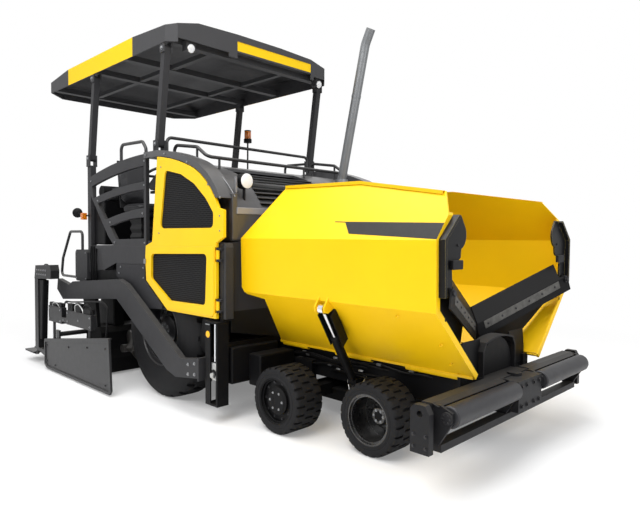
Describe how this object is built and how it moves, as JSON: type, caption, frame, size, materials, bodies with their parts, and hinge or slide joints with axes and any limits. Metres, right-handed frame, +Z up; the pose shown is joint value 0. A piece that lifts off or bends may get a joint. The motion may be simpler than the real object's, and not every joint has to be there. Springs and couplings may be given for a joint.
{
  "type": "wheeled asphalt paver",
  "caption": "Wheeled asphalt paver with folding hopper wings, steered front bogie, push rollers, operator platform under a folding roof, and a towed extending screed.",
  "frame": {"origin": "on the ground, at the middle of the machine's overall length and width", "axes": "+X forward to the hopper, +Y to the machine's left, +Z up"},
  "size_m": [6.61, 3.16, 4.0088],
  "materials": {
    "yellow_paint": "gloss",
    "dark_grey_paint": "satin",
    "black_paint": "satin",
    "rim_paint": "satin",
    "tyre_rubber": "matte",
    "chrome_rod": "polished",
    "exhaust_steel": "satin",
    "bare_steel": "worn",
    "roof_moulding": "matte",
    "cab_plastic": "matte",
    "screen_steel": "matte",
    "clear_lens": "gloss",
    "amber_lens": "gloss"
  },
  "bodies": {
    "chassis": {"main_frame": "black_paint", "conveyor": "bare_steel", "push_beam": "black_paint", "bogie_frame": "black_paint", "rear_axle": "black_paint", "engine_block": "black_paint", "hood": "dark_grey_paint", "body_panels": "dark_grey_paint", "platform": "dark_grey_paint", "side_guard_left": "dark_grey_paint", "side_guard_right": "dark_grey_paint", "seats": "cab_plastic", "console": "cab_plastic", "post_feet": "black_paint", "handrails": "black_paint", "exhaust": "exhaust_steel", "beacon": "amber_lens", "tow_guides": "black_paint", "cylinder_brackets": "black_paint", "headlights": "clear_lens"},
    "wing_left": {"hopper_wing_left": "yellow_paint"},
    "flap_left": {"apron_flap_left": "black_paint"},
    "barrel_left": {"cylinder_barrel_left": "black_paint"},
    "rod_left": {"cylinder_rod_left": "chrome_rod"},
    "front_knuckle_left": {"front_knuckle_left": "black_paint"},
    "front_wheel_left": {"front_tyre_left": "tyre_rubber", "front_rim_left": "rim_paint"},
    "second_knuckle_left": {"second_knuckle_left": "black_paint"},
    "second_wheel_left": {"second_tyre_left": "tyre_rubber", "second_rim_left": "rim_paint"},
    "rear_wheel_left": {"rear_tyre_left": "tyre_rubber", "rear_rim_left": "rim_paint"},
    "push_roller_left": {"push_roller_left": "bare_steel"},
    "side_door_left": {"side_door_left": "yellow_paint", "door_screens_left": "screen_steel"},
    "extension_left": {"screed_extension_left": "black_paint"},
    "auger_left": {"auger_left": "bare_steel"},
    "wing_right": {"hopper_wing_right": "yellow_paint"},
    "flap_right": {"apron_flap_right": "black_paint"},
    "barrel_right": {"cylinder_barrel_right": "black_paint"},
    "rod_right": {"cylinder_rod_right": "chrome_rod"},
    "front_knuckle_right": {"front_knuckle_right": "black_paint"},
    "front_wheel_right": {"front_tyre_right": "tyre_rubber", "front_rim_right": "rim_paint"},
    "second_knuckle_right": {"second_knuckle_right": "black_paint"},
    "second_wheel_right": {"second_tyre_right": "tyre_rubber", "second_rim_right": "rim_paint"},
    "rear_wheel_right": {"rear_tyre_right": "tyre_rubber", "rear_rim_right": "rim_paint"},
    "push_roller_right": {"push_roller_right": "bare_steel"},
    "side_door_right": {"side_door_right": "yellow_paint", "door_screens_right": "screen_steel"},
    "extension_right": {"screed_extension_right": "black_paint"},
    "auger_right": {"auger_right": "bare_steel"},
    "screed": {"screed_main": "black_paint", "tow_arms": "dark_grey_paint"},
    "front_posts": {"front_posts": "black_paint"},
    "rear_posts": {"rear_posts": "black_paint"},
    "canopy": {"canopy": "roof_moulding"}
  },
  "joints": [
    {"name": "wing_left_fold", "type": "hinge", "parent": "chassis", "child": "wing_left", "pos_m": [2, 0.536, 0.64], "axis": [-1, 0, 0], "range_deg": [0, 45]},
    {"name": "flap_left_swing", "type": "hinge", "parent": "wing_left", "child": "flap_left", "pos_m": [3.12, 0.95, 1.29], "axis": [1, 0, 0], "range_deg": [0, 22.5]},
    {"name": "barrel_left_swing", "type": "hinge", "parent": "chassis", "child": "barrel_left", "pos_m": [1.99, 0.575, 0.425], "axis": [-1, 0, 0], "range_deg": [0, 39.44]},
    {"name": "rod_left_stroke", "type": "slide", "parent": "barrel_left", "child": "rod_left", "axis": [-0.1296, -0.5925, -0.7951], "range_m": [0, 0.15152]},
    {"name": "front_steer_left", "type": "hinge", "parent": "chassis", "child": "front_knuckle_left", "pos_m": [2.418, 0.6, 0.28], "axis": [0, 0, 1], "range_deg": [-20, 20]},
    {"name": "front_wheel_left_spin", "type": "hinge", "parent": "front_knuckle_left", "child": "front_wheel_left", "pos_m": [2.418, 0.8, 0.28], "axis": [0, 1, 0], "continuous": true},
    {"name": "second_steer_left", "type": "hinge", "parent": "chassis", "child": "second_knuckle_left", "pos_m": [1.565, 0.78, 0.28], "axis": [0, 0, 1], "range_deg": [-12, 12]},
    {"name": "second_wheel_left_spin", "type": "hinge", "parent": "second_knuckle_left", "child": "second_wheel_left", "pos_m": [1.565, 0.8, 0.28], "axis": [0, 1, 0], "continuous": true},
    {"name": "rear_wheel_left_spin", "type": "hinge", "parent": "chassis", "child": "rear_wheel_left", "pos_m": [-0.085, 1, 0.683], "axis": [0, 1, 0], "continuous": true},
    {"name": "push_roller_left_spin", "type": "hinge", "parent": "chassis", "child": "push_roller_left", "pos_m": [3.233, 0.6, 0.529], "axis": [0, 1, 0], "continuous": true},
    {"name": "side_door_left_swing", "type": "hinge", "parent": "chassis", "child": "side_door_left", "pos_m": [0.99, 1.257, 1.5], "axis": [0, 0, -1], "range_deg": [0, 85]},
    {"name": "extension_left_slide", "type": "slide", "parent": "screed", "child": "extension_left", "axis": [0, 1, 0], "range_m": [-0.27, 1]},
    {"name": "auger_left_spin", "type": "hinge", "parent": "chassis", "child": "auger_left", "pos_m": [-1.03, 0.5, 0.36], "axis": [0, 1, 0], "continuous": true},
    {"name": "wing_right_fold", "type": "hinge", "parent": "chassis", "child": "wing_right", "pos_m": [2, -0.536, 0.64], "axis": [1, 0, 0], "range_deg": [0, 45]},
    {"name": "flap_right_swing", "type": "hinge", "parent": "wing_right", "child": "flap_right", "pos_m": [3.12, -0.95, 1.29], "axis": [-1, 0, 0], "range_deg": [0, 22.5]},
    {"name": "barrel_right_swing", "type": "hinge", "parent": "chassis", "child": "barrel_right", "pos_m": [1.99, -0.575, 0.425], "axis": [1, 0, 0], "range_deg": [0, 39.44]},
    {"name": "rod_right_stroke", "type": "slide", "parent": "barrel_right", "child": "rod_right", "axis": [-0.1296, 0.5925, -0.7951], "range_m": [0, 0.15152]},
    {"name": "front_steer_right", "type": "hinge", "parent": "chassis", "child": "front_knuckle_right", "pos_m": [2.418, -0.6, 0.28], "axis": [0, 0, 1], "range_deg": [-20, 20]},
    {"name": "front_wheel_right_spin", "type": "hinge", "parent": "front_knuckle_right", "child": "front_wheel_right", "pos_m": [2.418, -0.8, 0.28], "axis": [0, 1, 0], "continuous": true},
    {"name": "second_steer_right", "type": "hinge", "parent": "chassis", "child": "second_knuckle_right", "pos_m": [1.565, -0.78, 0.28], "axis": [0, 0, 1], "range_deg": [-12, 12]},
    {"name": "second_wheel_right_spin", "type": "hinge", "parent": "second_knuckle_right", "child": "second_wheel_right", "pos_m": [1.565, -0.8, 0.28], "axis": [0, 1, 0], "continuous": true},
    {"name": "rear_wheel_right_spin", "type": "hinge", "parent": "chassis", "child": "rear_wheel_right", "pos_m": [-0.085, -1, 0.683], "axis": [0, 1, 0], "continuous": true},
    {"name": "push_roller_right_spin", "type": "hinge", "parent": "chassis", "child": "push_roller_right", "pos_m": [3.233, -0.6, 0.529], "axis": [0, 1, 0], "continuous": true},
    {"name": "side_door_right_swing", "type": "hinge", "parent": "chassis", "child": "side_door_right", "pos_m": [0.99, -1.257, 1.5], "axis": [0, 0, 1], "range_deg": [0, 85]},
    {"name": "extension_right_slide", "type": "slide", "parent": "screed", "child": "extension_right", "axis": [0, -1, 0], "range_m": [-0.27, 1]},
    {"name": "auger_right_spin", "type": "hinge", "parent": "chassis", "child": "auger_right", "pos_m": [-1.03, -0.5, 0.36], "axis": [0, 1, 0], "continuous": true},
    {"name": "screed_lift", "type": "hinge", "parent": "chassis", "child": "screed", "pos_m": [0.97, 0, 0.44], "axis": [0, 1, 0], "range_deg": [0, 10]},
    {"name": "roof_fold", "type": "hinge", "parent": "chassis", "child": "front_posts", "pos_m": [-0.269, 0, 2.61], "axis": [0, -1, 0], "range_deg": [0, 75]},
    {"name": "canopy_level", "type": "hinge", "parent": "front_posts", "child": "canopy", "pos_m": [-0.129, 0, 3.565], "axis": [0, 1, 0], "range_deg": [0, 75]},
    {"name": "rear_posts_fold", "type": "hinge", "parent": "chassis", "child": "rear_posts", "pos_m": [-1.905, 0, 2.61], "axis": [0, -1, 0], "range_deg": [0, 75]}
  ],
  "couplings": [
    {"joint": "flap_left_swing", "follows": "wing_left_fold", "ratio": 0.5},
    {"joint": "barrel_left_swing", "follows": "wing_left_fold", "ratio": 0.87649},
    {"joint": "rod_left_stroke", "follows": "wing_left_fold", "m_per_rad": 0.19291},
    {"joint": "second_steer_left", "follows": "front_steer_left", "ratio": 0.6},
    {"joint": "flap_right_swing", "follows": "wing_right_fold", "ratio": 0.5},
    {"joint": "barrel_right_swing", "follows": "wing_right_fold", "ratio": 0.87649},
    {"joint": "rod_right_stroke", "follows": "wing_right_fold", "m_per_rad": 0.19291},
    {"joint": "front_steer_right", "follows": "front_steer_left", "ratio": 1},
    {"joint": "second_steer_right", "follows": "front_steer_left", "ratio": 0.6},
    {"joint": "canopy_level", "follows": "roof_fold", "ratio": 1},
    {"joint": "rear_posts_fold", "follows": "roof_fold", "ratio": 1}
  ]
}
